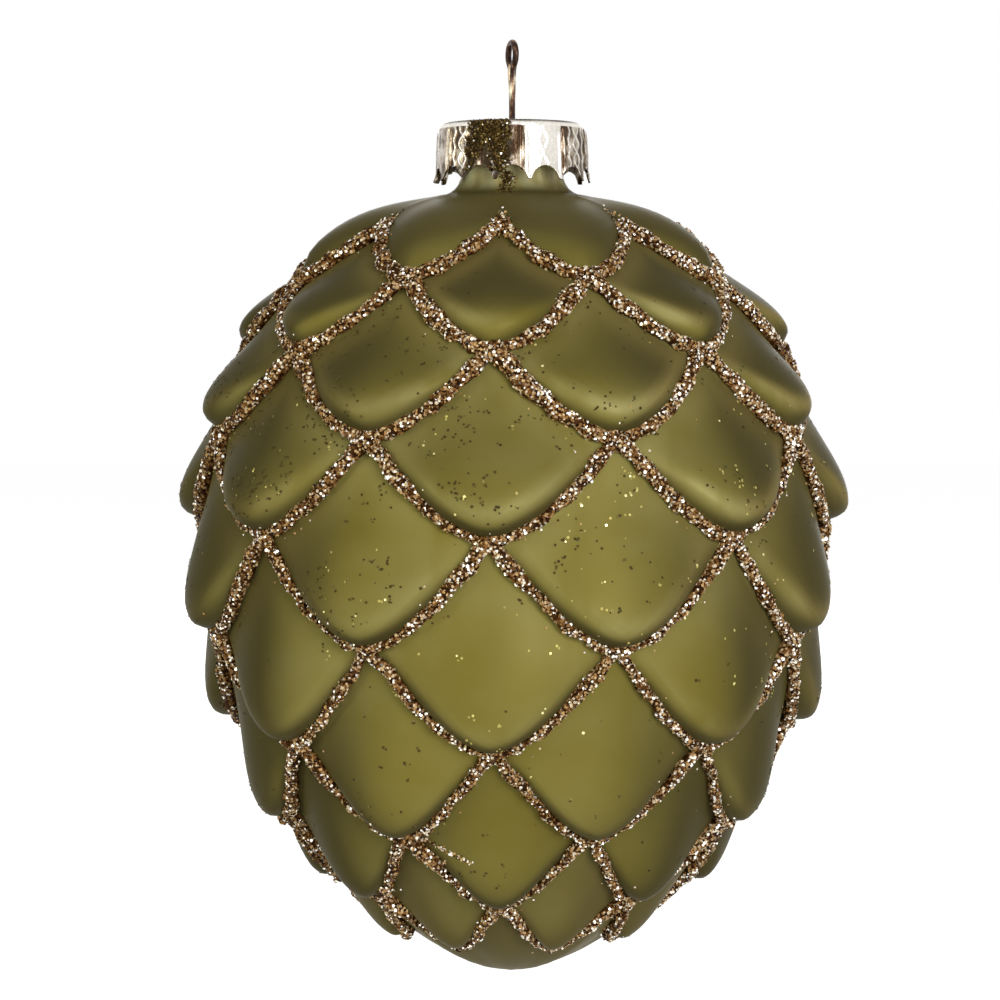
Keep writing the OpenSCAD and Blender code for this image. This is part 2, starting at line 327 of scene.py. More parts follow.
def scalePaintedLightAndShade(k, i, u, v):
    # how much painted highlight a point of a scale gets, and how much painted shade
    far, near = max(u, v), min(u, v)
    turn = halfTurn(scaleMiddle(k, i) + pitch / 2 * (u - v))
    # painted highlight near the crest of the lip, stronger towards the right of the cone, and along a band just
    # under the upper edges; it fades down the rings
    crest = hump((u ** 5 + v ** 5) ** 0.2, 0.84, 0.07) * min(1, 2.2 * near) * (1 + 0.7 * sind(turn))
    if k == 2:
        crest *= min(1.2, max(0, 0.4 + 2 * (v - u)))  # the top scales shine on their left
    glow = (0.8 * crest + 0.45 * hump(near, 0.1, 0.12)) * max(0, 1 - (k - 2) / 6)
    # painted light: the lowest ring is lighter all over
    if k == ringCount:
        glow += 0.28
    # painted shade in the groove along each lip, and in two darker patches, one high on the left and one low on the
    # right
    painted_groove_shade = max(0, min(1, (far - 0.87) / 0.07)) * min(1, 3 * near)
    painted_shade_patches = (0.38 * hump(k + far, 4.1, 1.1) * hump(turn, -16, 30)
             + 0.4 * hump(k + far, 8, 0.9) * hump(turn, 40, 16))
    return min(1, glow), max(painted_shade_patches, painted_groove_shade)


def growNeck(bm, neck):
    # the boundary at the crown is drawn up into the flare and the straight neck
    rim = [e for e in bm.edges if e.is_boundary]
    flare = cone["neckFlare"]
    rings = [(rootRadius - flare * sind(a), rootHeight + flare * (1 - cosd(a))) for a in range(15, 91, 15)]
    straight = mouthHeight - rings[-1][1]
    rings += [(cone["neckWidth"] / 2, rings[-1][1] + straight * s / 5) for s in range(1, 6)]
    for radius, height in rings:
        made = bmesh.ops.extrude_edge_only(bm, edges=rim)["geom"]
        rim = [g for g in made if isinstance(g, bmesh.types.BMEdge)]
        for vert in (g for g in made if isinstance(g, bmesh.types.BMVert)):
            out = Vector((vert.co.x, vert.co.y, 0)).normalized() * radius
            vert.co = (out.x, out.y, height + hungBy)
            # how far the painted pale neck colour takes over, rising from the root of the flare
            vert[neck] = 0.95 * min(1, max(0, height - rootHeight - 0.3) / 3)


def glassPiece(material):
    bm = bmesh.new()
    glow, pool, neck = (bm.verts.layers.float.new(name) for name in ("glow", "pool", "neck"))
    n = cone["scaleSteps"]
    for k in range(2, ringCount + 1):
        for i in range(cone["scalesAround"]):
            for vert in bmesh.ops.create_grid(bm, x_segments=n, y_segments=n, size=0.5)["verts"]:
                u, v = vert.co.x + 0.5, vert.co.y + 0.5
                vert.co = onScale(k, i, u, v)
                vert[glow], vert[pool] = scalePaintedLightAndShade(k, i, u, v)
    for i in range(cone["scalesAround"]):
        # the crown's lobes and the closed end are bands between a wavy line of lips and a level ring
        for k, level, steps in ((1, rootAngle, cone["lobeSteps"]), (ringCount, 90, cone["endSteps"])):
            for vert in bmesh.ops.create_grid(bm, x_segments=2 * n, y_segments=steps, size=0.5)["verts"]:
                x, row = 1 - abs(2 * vert.co.x), vert.co.y + 0.5
                if k == 1:
                    # painted shade near the crown's lip, and painted highlight higher up the lobes and towards their
                    # edges
                    vert[pool] = 0.6 * hump(row, 0.12, 0.35)
                    vert[glow] = 0.3 * hump(row, 0.65, 0.4) + 0.15 * (1 - x) * hump(row, 0.8, 0.3)
                    lift = cone["crownRelief"] * rise(1 - row) * mix(cone["lobeSaddle"], 1, sind(90 * x) ** 2)
                else:
                    # painted light: the closed end is lighter all over
                    vert[glow] = 0.38
                    lift = cone["tipBulge"] * sind(90 * row)
                turn = scaleMiddle(k, i) + pitch * vert.co.x
                vert.co = skin(turn, mix(edgeAngle(k, x), level, row), lift)
    bmesh.ops.remove_doubles(bm, verts=bm.verts, dist=0.02)
    growNeck(bm, neck)
    bmesh.ops.recalc_face_normals(bm, faces=bm.faces)
    bmesh.ops.solidify(bm, geom=bm.faces[:], thickness=cone["wall"])
    return finishPiece(bm, "pine_cone_glass", material, "glass_shell")


# glue and flakes; the lists hold one value for each ring from the crown down
glitter = {
    "seed": 7, "halfWidths": [1.05, 1.07, 1.03, 0.94, 0.86, 0.78, 0.74, 0.71, 0.69], "height": 0.95, "lift": 0.75,
    "climbs": [0, 0, 0, 0, 0.3, 0.6, 0.9, 0.4, 0], "stations": 42, "sides": 11, "endSwell": 0.42,
    "flakeRadius": 0.205, "flakeDepth": 0.14, "flakeTilt": 0.38, "flakesPerMm2": 6.4,
    "strays": 7, "strayRadius": 0.15, "tails": 18, "tailRadius": 0.18,
    "dribbles": [((-24, 39.6), (-6, 43), 96), ((-23, 41), (-13, 44), 60)],
}


def lipPoint(k, i, side, x):
    # a point of the lip of scale i in ring k, from its corner at 0 to its tip at 1
    return scaleMiddle(k, i) + side * pitch / 2 * (1 - x), edgeAngle(k, x)


def lipFrame(k, i, side, x, lift):
    step = 0.01
    turn, angle = lipPoint(k, i, side, x)
    here = skin(turn, angle, lift)
    ahead = skin(*lipPoint(k, i, side, min(x + step, 1)), lift)
    behind = skin(*lipPoint(k, i, side, max(x - step, 0)), lift)
    along = (ahead - behind).normalized()
    out = skinOut(turn, angle)
    across = along.cross(out).normalized()
    return here, across, across.cross(along).normalized()


def beadStation(k, i, side, s, drift):
    # the tube's middle, its two directions and its size at s, from 0 to 1 along it
    x = min(max(mix(-0.02, 1.02, s), 0), 1)
    # towards the tips of the lower scales the line climbs onto the lip, so it isn't lost under the bulge
    climb = glitter["climbs"][k - 1] * x ** 2
    here, across, out = lipFrame(k, i, side, x, glitter["lift"] + climb)
    wobble = noise.noise(Vector((drift, s * 9, 0))) * 0.45
    toEnd = min(s, 1 - s)
    size = 1 + 0.4 * noise.noise(Vector((drift, 5, s * 8))) + glitter["endSwell"] * max(0, 1 - toEnd / 0.09)
    if toEnd < 0.03:
        size *= (toEnd / 0.03) ** 0.5
    return here + across * wobble, across, out, size


def beadTube(bm, k, i, side, rng):
    # one squeezed line of glue along half a lip, rolled from a grid
    drift, share = rng.uniform(0, 100), rng.uniform(0.9, 1.1)
    wide, tall = glitter["halfWidths"][k - 1] * share, glitter["height"] * share
    stations = {}
    grid = bmesh.ops.create_grid(bm, x_segments=glitter["stations"], y_segments=glitter["sides"], size=0.5)["verts"]
    for vert in grid:
        s, a = vert.co.x + 0.5, vert.co.y * 360
        key = round(s * glitter["stations"])
        if key not in stations:
            stations[key] = beadStation(k, i, side, s, drift)
        here, across, out, size = stations[key]
        lump = here * 1.7 + across * 2 * sind(a) + out * 2 * cosd(a)
        rough = size * (1 + 0.22 * noise.noise(lump))
        vert.co = here + across * (wide * rough * sind(a)) + out * (tall * rough * cosd(a))
    bmesh.ops.remove_doubles(bm, verts=bm.verts, dist=0.004)
    bmesh.ops.recalc_face_normals(bm, faces=bm.faces)
    if bm.calc_volume(signed=True) < 0:
        bmesh.ops.reverse_faces(bm, faces=bm.faces)


def copperGlue():
    tree = Tree("copper_glue")
    grain = tree.build("TexVoronoi", out="Color", Vector=tree.objectPlace(), Scale=2600.0)
    tone = tree.build("SeparateColor", out="Red", Color=grain)
    colour = tree.ramp(tone, [(0.0, (0.022, 0.008, 0.002)), (0.5, (0.08, 0.032, 0.008)),
                              (0.85, (0.38, 0.19, 0.06)), (1.0, (0.8, 0.55, 0.28))])
    bump = tree.build("Bump", Strength=0.6, Distance=0.0002, Height=tone)
    return tree.output(tree.build("BsdfPrincipled", Base_Color=colour, Roughness=0.4, Normal=bump,
                                  Specular_IOR_Level=0.04))


def flakeMaterial(name, stops):
    # the brightest tones are made metallic so that they mirror the room, and the near-white ones are painted glints
    tree = Tree(name)
    tone = tree.attribute("tone")
    speck = tree.noise(tree.objectPlace(), 9000, 1)
    shader = tree.build("BsdfPrincipled", Base_Color=tree.ramp(tone, stops), Roughness=0.25 + 0.2 * speck,
                        Metallic=tone.between(0.86, 0.96), Specular_IOR_Level=0.03)
    return tree.output(shader)


def copperFlakes():
    return flakeMaterial("copper_glitter_flakes", [
        (0.0, (0.022, 0.008, 0.001)), (0.24, (0.075, 0.028, 0.006)), (0.42, (0.34, 0.165, 0.045)),
        (0.62, (0.80, 0.50, 0.19)), (0.80, (1.0, 0.80, 0.45)), (0.92, (1.0, 0.93, 0.74)), (1.0, (1.0, 0.98, 0.94))])


def shadedFleckFlakes():
    # glitter flecks painted dark olive, as if in shade
    return flakeMaterial("dark_flecks", [
        (0.0, (0.075, 0.058, 0.018)), (0.6, (0.13, 0.104, 0.032)), (1.0, (0.18, 0.148, 0.046))])


def litFleckFlakes():
    # glitter flecks painted bright gold, as if catching the light
    return flakeMaterial("gold_flecks", [
        (0.0, (0.035, 0.022, 0.008)), (0.4, (0.13, 0.085, 0.022)), (0.65, (0.34, 0.25, 0.07)),
        (0.88, (0.86, 0.77, 0.22)), (1.0, (1.0, 0.97, 0.6))])


def spiltFlakes():
    return flakeMaterial("spilt_flakes", [
        (0.0, (0.026, 0.014, 0.004)), (0.4, (0.10, 0.062, 0.016)), (0.65, (0.27, 0.18, 0.05)),
        (0.86, (0.6, 0.47, 0.18)), (1.0, (1.0, 0.98, 0.85))])


def flakeShape():
    # a five-sided plate whose point is sunk in the glue
    bm = bmesh.new()
    sunk = Matrix.Translation((0, 0, -0.5))
    bmesh.ops.create_cone(bm, cap_ends=True, segments=5, radius1=0, radius2=1, depth=1, matrix=sunk)
    mesh = bpy.data.meshes.new("flake")
    bm.to_mesh(mesh)
    bm.free()
    return mesh


def scatterFlakes(name, places, material, seed):
    # places are (point, outward direction, radius, depth, tilt, tone)
    rng = random.Random(seed)
    flake = flakeShape()
    points = np.array([v.co for v in flake.vertices])
    loops = np.array([l.vertex_index for l in flake.loops])
    starts = np.array([p.loop_start for p in flake.polygons])
    count = len(places)
    allPoints = np.empty((count, len(points), 3))
    for c, (point, out, radius, depth, tilt, _) in enumerate(places):
        lean = Vector((rng.gauss(0, tilt), rng.gauss(0, tilt), rng.gauss(0, tilt)))
        turn = (out + lean).to_track_quat("Z", "Y").to_matrix()
        spin = Matrix.Rotation(rng.uniform(0, 6.283), 3, "Z")
        allPoints[c] = (points * (radius, radius, depth)) @ np.array(turn @ spin).T + np.array(point)
    shift = np.arange(count)[:, None]
    mesh = bpy.data.meshes.new(name)
    mesh.vertices.add(count * len(points))
    mesh.vertices.foreach_set("co", allPoints.ravel())
    mesh.loops.add(count * len(loops))
    mesh.loops.foreach_set("vertex_index", (loops[None, :] + shift * len(points)).ravel())
    mesh.polygons.add(count * len(starts))
    mesh.polygons.foreach_set("loop_start", (starts[None, :] + shift * len(loops)).ravel())
    mesh.update(calc_edges=True)
    tones = mesh.attributes.new("tone", "FLOAT", "FACE")
    tones.data.foreach_set("value", np.repeat([p[5] for p in places], len(starts)).astype(np.float32))
    mesh.validate()
    return placePiece(mesh, name, material, None, False)


def flakeToneWithPaintedGlints(rng, side):
    # side is -1 on the left and 1 on the right, where the flakes are painted lighter and more of them near white, as
    # painted glints. A flake's tone, from dark to near white, is a painted reflection of a darker or brighter room.
    if rng.random() < 0.27 + 0.08 * side:
        return rng.uniform(0.93, 1)
    return 0.9 * rng.betavariate(1.12 + 0.16 * side, 0.85)


def landOn(glass, turn, angle):
    # the point of the glass met by looking straight in at a turn and angle of the egg
    out = skinOut(turn, angle)
    hit, normal = glass.ray_cast(skin(turn, angle, 12) * mm, -out)[:2]
    return (hit / mm, normal) if hit else (skin(turn, angle, 0), out)


def looseGrain(glass, turn, angle, size, rng):
    point, out = landOn(glass, turn, angle)
    tone = flakeToneWithPaintedGlints(rng, 0)
    return point + out * 0.1, out, size * rng.uniform(0.7, 1.3), 0.13, 0.3, tone


def strayPlaces(k, i, side, rng, glass):
    # grains that missed the glue, and a short tail above each corner of the crown
    places = []
    for _ in range(glitter["strays"]):
        turn, angle = lipPoint(k, i, side, rng.random() ** 0.7)
        turn, angle = turn + rng.gauss(0, 1.8), angle + rng.gauss(0.8, 1.8)
        places.append(looseGrain(glass, turn, angle, glitter["strayRadius"], rng))
    if k == 1:
        corner, top = lipPoint(k, i, side, 0)
        for _ in range(glitter["tails"]):
            turn, angle = corner + rng.gauss(0, 1.3), top - abs(rng.gauss(0, 2.2))
            places.append(looseGrain(glass, turn, angle, glitter["tailRadius"], rng))
    return places


def dribblePlaces(rng, glass):
    # short runs where the glue was dragged off its line, each from one (turn, angle) to another
    places = []
    for first, last, count in glitter["dribbles"]:
        for c in range(count):
            share = c / count
            turn = mix(first[0], last[0], share) + rng.gauss(0, 0.3)
            angle = mix(first[1], last[1], share) + rng.gauss(0, 0.22)
            places.append(looseGrain(glass, turn, angle, mix(0.24, 0.16, share), rng))
    return places


def beadPlaces(bm, k, i, side, rng):
    # flakes over all of a line of glue but its underside
    places = []
    out = skinOut(*lipPoint(k, i, side, 0.5))
    for face in bm.faces:
        if face.normal.dot(out) < -0.15:
            continue
        away = face.normal.copy()  # the bmesh only lends its own
        wanted = face.calc_area() * glitter["flakesPerMm2"]
        corners = [v.co for v in face.verts]
        for _ in range(int(wanted + rng.random())):
            a, b = rng.random(), rng.random()
            if len(corners) == 4:
                point = corners[0].lerp(corners[1], a).lerp(corners[3].lerp(corners[2], a), b)
            else:
                point = face.calc_center_median()
            size = glitter["flakeRadius"] * rng.uniform(0.75, 1.3)
            place = point + away * rng.uniform(0, 0.09)
            tone = flakeToneWithPaintedGlints(rng, max(-1, min(1, point.x / 30)))
            places.append((place, away, size, glitter["flakeDepth"], glitter["flakeTilt"], tone))
    return places


def glitterPieces(glue, flakes, glass):
    rng = random.Random(glitter["seed"])
    groups = {"crown": (1, 2), "upper": (3, 4), "middle": (5, 6), "lower": (7, 8, 9)}
    places = {group: [] for group in groups}
    whole = bmesh.new()
    for group, rings in groups.items():
        for k in rings:
            for i in range(cone["scalesAround"]):
                for side in (-1, 1):
                    bm = bmesh.new()
                    beadTube(bm, k, i, side, rng)
                    places[group] += beadPlaces(bm, k, i, side, rng)
                    places[group] += strayPlaces(k, i, side, rng, glass)
                    mesh = bpy.data.meshes.new("bead")
                    bm.to_mesh(mesh)
                    bm.free()
                    whole.from_mesh(mesh)
                    bpy.data.meshes.remove(mesh)
    places["lower"] += dribblePlaces(rng, glass)
    finishPiece(whole, "glitter_glue", glue, "glitter_trim", False)
    for group, found in places.items():
        scatterFlakes(f"glitter_flakes_{group}", found, flakes, len(found))


# loose flecks on the glass; the sides are the turns round which they lie thickest
flecks = {
    "seed": 5, "darkTries": 4300, "lowTries": 800, "goldTries": 1250, "radius": 0.175, "depth": 0.1,
    "darkSide": -28, "goldSide": 34,
}


def fleckPlaces(rng, tries, side, low, high, floor, tones):
    # mostly in drifts, over the scales of rings low to high, and floor is the share left far from the side
    places = []
    for _ in range(tries):
        k, i = round(rng.triangular(low, high)), rng.randrange(cone["scalesAround"])
        u, v = rng.uniform(0.06, 0.86), rng.uniform(0.06, 0.86)
        turn = halfTurn(scaleMiddle(k, i) + pitch / 2 * (u - v) - side)
        point = onScale(k, i, u, v)
        drift = noise.noise(point / 9) + 0.6 * noise.noise(point / 3.5)
        share = mix(floor, 1, hump(turn, 0, 50)) * min(1, max(0, (drift + 0.3) / 0.8))
        if rng.random() > share:
            continue
        out = (onScale(k, i, u + 0.01, v) - point).cross(onScale(k, i, u, v + 0.01) - point).normalized()
        out = out if out.dot(Vector((point.x, point.y, 0))) > 0 else -out
        for _ in range(rng.choice((1, 1, 1, 2, 3))):
            near = Vector((rng.gauss(0, 0.22), rng.gauss(0, 0.22), rng.gauss(0, 0.22)))
            near -= out * near.dot(out)
            size = flecks["radius"] * rng.uniform(0.6, 1.35)
            places.append((point + near + out * 0.06, out, size, flecks["depth"], 0.12, rng.uniform(*tones)))
    return places


def fleckPieces():
    rng = random.Random(flecks["seed"])
    # the same loose glitter painted as if in shade, thickest on the left, and as if lit, thickest on the right
    dark = fleckPlaces(rng, flecks["darkTries"], flecks["darkSide"], 2, 6, 0.25, (0, 1))
    dark += fleckPlaces(rng, flecks["lowTries"], flecks["darkSide"], 6, 8.4, 0.45, (0, 1))
    gold = fleckPlaces(rng, flecks["goldTries"], flecks["goldSide"], 3, 7, 0.08, (0.74, 0.95))
    scatterFlakes("dark_flecks", dark, shadedFleckFlakes(), 31)
    scatterFlakes("gold_flecks", gold, litFleckFlakes(), 32)


# the cap; each strand of spill is (turn, half width) at the top and at the hem
cap = {
    "width": 21, "flare": 0.9, "height": 8.4, "rim": 0.8, "points": 14, "pointWidth": 0.5, "archDrop": 0.3,
    "holeClearance": 0.2, "panels": 11, "firstFold": 8.3, "ridge": 0.2, "ridgeWidth": 0.15, "fold": 0.34,
    "steps": 448, "rows": 44, "seed": 3, "spill": (((-21, 13), (-38, 1.5)), ((-11, 10), (-8, 5))),
    "spillTries": 9500, "grain": 0.15, "sparkle": (-1.15, -7.9, -9.85),
}


def ridgeAt(distance):
    return hump(distance, 0, cap["ridgeWidth"])


def capStamp(turn, down):
    # a chain of ovals in every third panel, a zigzag in the others and a fold between two panels
    # turn in degrees and down in mm; gives the height in mm and how dark the metal is painted: tarnish, with some
    # panels darker than others, and painted shade in the valleys and the fold
    panel = 360 / cap["panels"]
    perDegree = math.pi / 180 * cap["width"] / 2
    number = math.floor((halfTurn(turn) - cap["firstFold"]) / panel)
    place = (turn - cap["firstFold"]) % panel
    across = (place - panel / 2) * perDegree
    if number % 3 == 1:
        wave = 0.66 * math.sin(math.pi * down / 2.2)
        border = 1.6 + 0.18 * math.sin(math.pi * down / 1.1)
        lines = max(ridgeAt(across - wave), ridgeAt(across + wave), ridgeAt(abs(across) - border))
        dull = 0.8
    elif number % 3 == 0:
        lines = 0.55 * ridgeAt(abs(across) - 0.75 * abs(((down + 0.5) / 1.7) % 2 - 1))
        dull = 0.08 if number % 6 == 0 else 0.75
    else:
        wave = math.sin(math.pi * down / 1.3)
        lines = max(ridgeAt(across - 0.5 - 0.35 * wave), ridgeAt(across + 1.1 + 0.25 * wave))
        dull = 0.85
    fold = min(place, panel - place) * perDegree
    height = cap["ridge"] * (lines - 0.25) - cap["fold"] * hump(fold, 0, 0.14) + 0.18 * hump(fold, 0.4, 0.2)
    # the raised lines stay bright and the valleys between them are painted darker, as painted shade, and the fold is
    # painted dark
    return height, max(min(1, dull * (1.15 - 1.3 * lines)), hump(fold, 0, 0.16))


def spillShare(turn, down):
    # 1 within the spilt glitter, which runs down the cap in two strands
    low = min(1, down / cap["height"])
    ragged = 6 * noise.noise(Vector((turn / 5, down / 1.3, 8)))
    inside = max(mix(a[1], b[1], low) - abs(halfTurn(turn) - mix(a[0], b[0], low)) for a, b in cap["spill"])
    return min(1, max(0, inside + ragged + 1.5) / 3)


def stampedMetal():
    tree = Tree("stamped_cap_metal")
    dull, spilt = tree.attribute("dull"), tree.attribute("spilt")
    stain = tree.noise(tree.objectPlace((1, 1, 0.5)), 480, 3, 0.65)
    fine = tree.noise(tree.objectPlace(), 2600, 2)
    silver = tree.ramp(fine, [(0.3, (0.80, 0.75, 0.66)), (0.7, (0.94, 0.91, 0.85))])
    # tarnish and painted shade turn the silver brown, and nearly black where the stain is strongest
    colour = tree.mixColour(dull * stain.between(0.2, 0.5), silver, (0.30, 0.23, 0.155))
    colour = tree.mixColour(dull * stain.between(0.44, 0.56), colour, (0.05, 0.028, 0.015))
    # glue of the spilt glitter, and painted shade, darken the metal and take its shine away
    colour = tree.mixColour(spilt * 0.95, colour, (0.05, 0.032, 0.012))
    bump = tree.build("Bump", Strength=0.25, Distance=0.0002, Height=fine)
    return tree.output(tree.build("BsdfPrincipled", Base_Color=colour, Roughness=0.2, Metallic=1 - 0.95 * spilt,
                                  Normal=bump, Specular_IOR_Level=0.1))


def plainCup(bm, hem):
    # the cup before it is stamped, spun from its outline, with the two holes for the wire
    radius, rim = cap["width"] / 2, cap["rim"]
    outline = [(radius - rim * (1 - sind(a)), capTop - rim * (1 - cosd(a))) for a in range(0, 91, 15)]
    skirtTop = outline[-1][1]
    outline += [(radius, mix(skirtTop, hem, row / cap["rows"])) for row in range(1, cap["rows"] + 1)]
    verts = [bm.verts.new((0, -r, z)) for r, z in outline]
    edges = [bm.edges.new(pair) for pair in zip(verts, verts[1:])]
    bmesh.ops.spin(bm, geom=verts + edges, axis=(0, 0, 1), cent=(0, 0, 0), angle=2 * math.pi,
                   steps=cap["steps"], use_merge=True)
    border = [e for e in bm.edges if e.is_boundary and min(v.co.z for v in e.verts) > capTop - 0.01]
    hole = hanger["wire"] / 2 + cap["holeClearance"]
    for side in (-1, 1):
        place = Matrix.Translation((0, side * hanger["legGap"] / 2, capTop))
        ring = bmesh.ops.create_circle(bm, cap_ends=False, segments=24, radius=hole, matrix=place)["verts"]
        border += dict.fromkeys(e for v in ring for e in v.link_edges)
    bmesh.ops.triangle_fill(bm, edges=border, use_beauty=True, normal=(0, 0, 1))
    return skirtTop


def capPiece(material):
    rng = random.Random(cap["seed"])
    bends = [rng.uniform(0.1, 0.9) for _ in range(cap["points"])]
    hemRadius = (cap["width"] + cap["flare"]) / 2
    hem = capTop - cap["height"]
    bm = bmesh.new()
    skirtTop = plainCup(bm, hem)
    tarnish_and_painted_shade_layer, spilt = bm.verts.layers.float.new("dull"), bm.verts.layers.float.new("spilt")
    pointPitch = 360 / cap["points"]
    archRadius = (2 * math.pi * hemRadius / cap["points"] - cap["pointWidth"]) / 2
    for vert in bm.verts:
        turn = math.degrees(math.atan2(vert.co.x, -vert.co.y)) % 360
        down = capTop - vert.co.z
        if vert.co.z > skirtTop - 0.001:
            # a painted dark reflection along the rounded rim of the top
            vert[tarnish_and_painted_shade_layer] = 0.9 * hump(down, 0.12, 0.14)
            vert[spilt] = max(spillShare(turn, 0), 0.85 * hump(down, 0.1, 0.2)) if down > 0.01 else 0
            continue
        # the skirt ends in arches between points, and each point is bent out a little by itself
        across = hemRadius * sind((turn + pointPitch / 2) % pointPitch - pointPitch / 2)
        arch = math.sqrt(max(archRadius ** 2 - across ** 2, 0)) - cap["archDrop"]
        share = (skirtTop - vert.co.z) / (skirtTop - hem)
        height = mix(skirtTop, hem + max(arch, 0), share)
        down = capTop - height
        fade = min(1, share * 5) * (0.55 + 0.45 * min(1, (1 - share) * 6))
        stamped, dull = capStamp(turn, down)
        point = int(((turn + pointPitch / 2) % 360) // pointPitch)
        bent = bends[point] * 0.5 * max(0, (down - 6.6) / 1.8) ** 1.5
        dent = 0.25 * noise.noise(Vector((turn / 40, down / 6, 3))) * share
        radius = (cap["width"] + cap["flare"] * down / cap["height"]) / 2 + stamped * fade + dent + bent
        vert.co = (radius * sind(turn), -radius * cosd(turn), height)
        # painted shadow: a dark patch between the two strands of spill
        painted_shadow = hump(halfTurn(turn), -20, 4.5) * (1.5 < down < 6.6)
        vert[tarnish_and_painted_shade_layer], vert[spilt] = dull, max(spillShare(turn, down), 0.9 * painted_shadow)
    bmesh.ops.recalc_face_normals(bm, faces=bm.faces)
    bmesh.ops.solidify(bm, geom=bm.faces[:], thickness=sheetThickness)
    piece = finishPiece(bm, "stamped_cap", material, "crown_cap")
    for face in piece.data.polygons:
        face.use_smooth = abs(face.normal.z) < 0.99


def neckSpread(height):
    # how much wider the neck is at a height than at its mouth
    part = min(max((height - rootHeight) / cone["neckFlare"], 0), 1)
    return cone["neckFlare"] * (1 - math.sqrt(1 - (1 - part) ** 2))


def spillPiece():
    # glitter spilt over the cap and down the neck
    rng = random.Random(cap["seed"])
    neckDown = 7.2  # where the spill leaves the cap for the neck
    places = []
    for _ in range(cap["spillTries"]):
        turn, down = rng.uniform(-46, 4), rng.uniform(0.1, 12.6)
        if down > neckDown:
            share = 0.7 * (hump(turn, -6, 7.5) * (1 - (down - neckDown) / 7)) ** 2
            radius = cone["neckWidth"] / 2 + max(0, neckSpread(mouthHeight + sheetThickness - down))
        else:
            share = 0.55 * spillShare(turn, min(down, cap["height"])) ** 2
            radius = (cap["width"] + cap["flare"] * down / cap["height"]) / 2 + 0.05
        if rng.random() > share * (0.5 if turn < -26 else 1):
            continue
        out = Vector((sind(turn), -cosd(turn), 0))
        # a few flakes are painted near white, as glints
        tone = 1 if rng.random() < 0.02 else 0.85 * rng.betavariate(1.0, 1.5)
        place = out * (radius + rng.uniform(0.05, 0.3)) + Vector((0, 0, capTop - down))
        places.append((place, out, cap["grain"] * rng.uniform(0.7, 1.3), 0.12, 0.5, tone))
    # a loose flake at the foot of the run, painted white as a glint
    x, y, down = cap["sparkle"]
    places.append((Vector((x, y, capTop + down)), Vector((0, -1, 0.1)), 0.3, 0.14, 0.1, 1))
    scatterFlakes("glitter_spill", places, spiltFlakes(), 41)


def wireTrack(step):
    # the wire as a flat track of (y, z, heading), walked from straight lengths and (radius, angle) bends
    wire, bend = hanger["wire"], hanger["bend"]
    eyeRadius = (hanger["eye"] + wire) / 2
    top = mouthHeight + sheetThickness + hanger["height"] - wire / 2
    shank = (wire + hanger["shankGap"]) / 2
    leg = hanger["legGap"] / 2
    wrap = 180 - asind((shank + bend) / (eyeRadius + bend))
    shankTop = top - eyeRadius + (eyeRadius + bend) * cosd(wrap)
    part, spring = hanger["partBend"], hanger["springBend"]
    partAngle = acosd(1 - (leg - shank) / (2 * part))
    partHeight = mouthHeight + sheetThickness + 0.4
    shankEnd = partHeight + 2 * part * sind(partAngle)
    springOut = cone["neckWidth"] / 2 - cone["wall"] - hanger["legClearance"] - wire / 2
    springAngle = acosd(1 - (springOut - leg) / (2 * spring))
    springTop = mouthHeight - 1.5
    springEnd = springTop - 2 * spring * sind(springAngle)
    moves = [(eyeRadius, wrap), (bend, 90 - wrap), shankTop - shankEnd,
             (part, -partAngle), (part, partAngle), partHeight - springTop,
             (spring, -springAngle), (spring, springAngle), springEnd - rootHeight + 3,
             (spring, -hanger["footBend"]), hanger["footLength"]]
    track = [(0, top, 0)]
    for move in moves:
        y, z, h = track[-1]
        if isinstance(move, tuple):
            radius, turn = move
            way = -1 if turn < 0 else 1
            count = math.ceil(abs(turn) / step)
            for j in range(1, count + 1):
                a = h - turn * j / count
                track.append((y + way * radius * (sind(h) - sind(a)), z - way * radius * (cosd(h) - cosd(a)), a))
        else:
            count = math.ceil(move / 0.7)
            for j in range(1, count + 1):
                track.append((y + move * j / count * cosd(h), z + move * j / count * sind(h), h))
    return [(-y, z, -h) for y, z, h in reversed(track[1:])] + track, shankEnd, shankTop


def copperWire():
    tree = Tree("aged_copper_wire")
    streak = tree.noise(tree.objectPlace((1.6, 1.6, 0.45)), 620, 3, 0.6)
    speck = tree.noise(tree.objectPlace(), 3200, 2)
    colour = tree.ramp(streak, [(0.40, (0.014, 0.007, 0.005)), (0.50, (0.06, 0.028, 0.017)),
                                (0.60, (0.24, 0.135, 0.07)), (0.68, (0.7, 0.55, 0.36))])
    # painted highlight turns the wire cream in two stretches
    colour = tree.mixColour(tree.attribute("worn") * streak.between(0.3, 0.5), colour, (0.95, 0.87, 0.66))
    bump = tree.build("Bump", Strength=0.3, Distance=0.0001, Height=speck)
    return tree.output(tree.build("BsdfPrincipled", Base_Color=colour, Roughness=0.25 + 0.25 * speck,
                                  Metallic=0.8, Normal=bump))


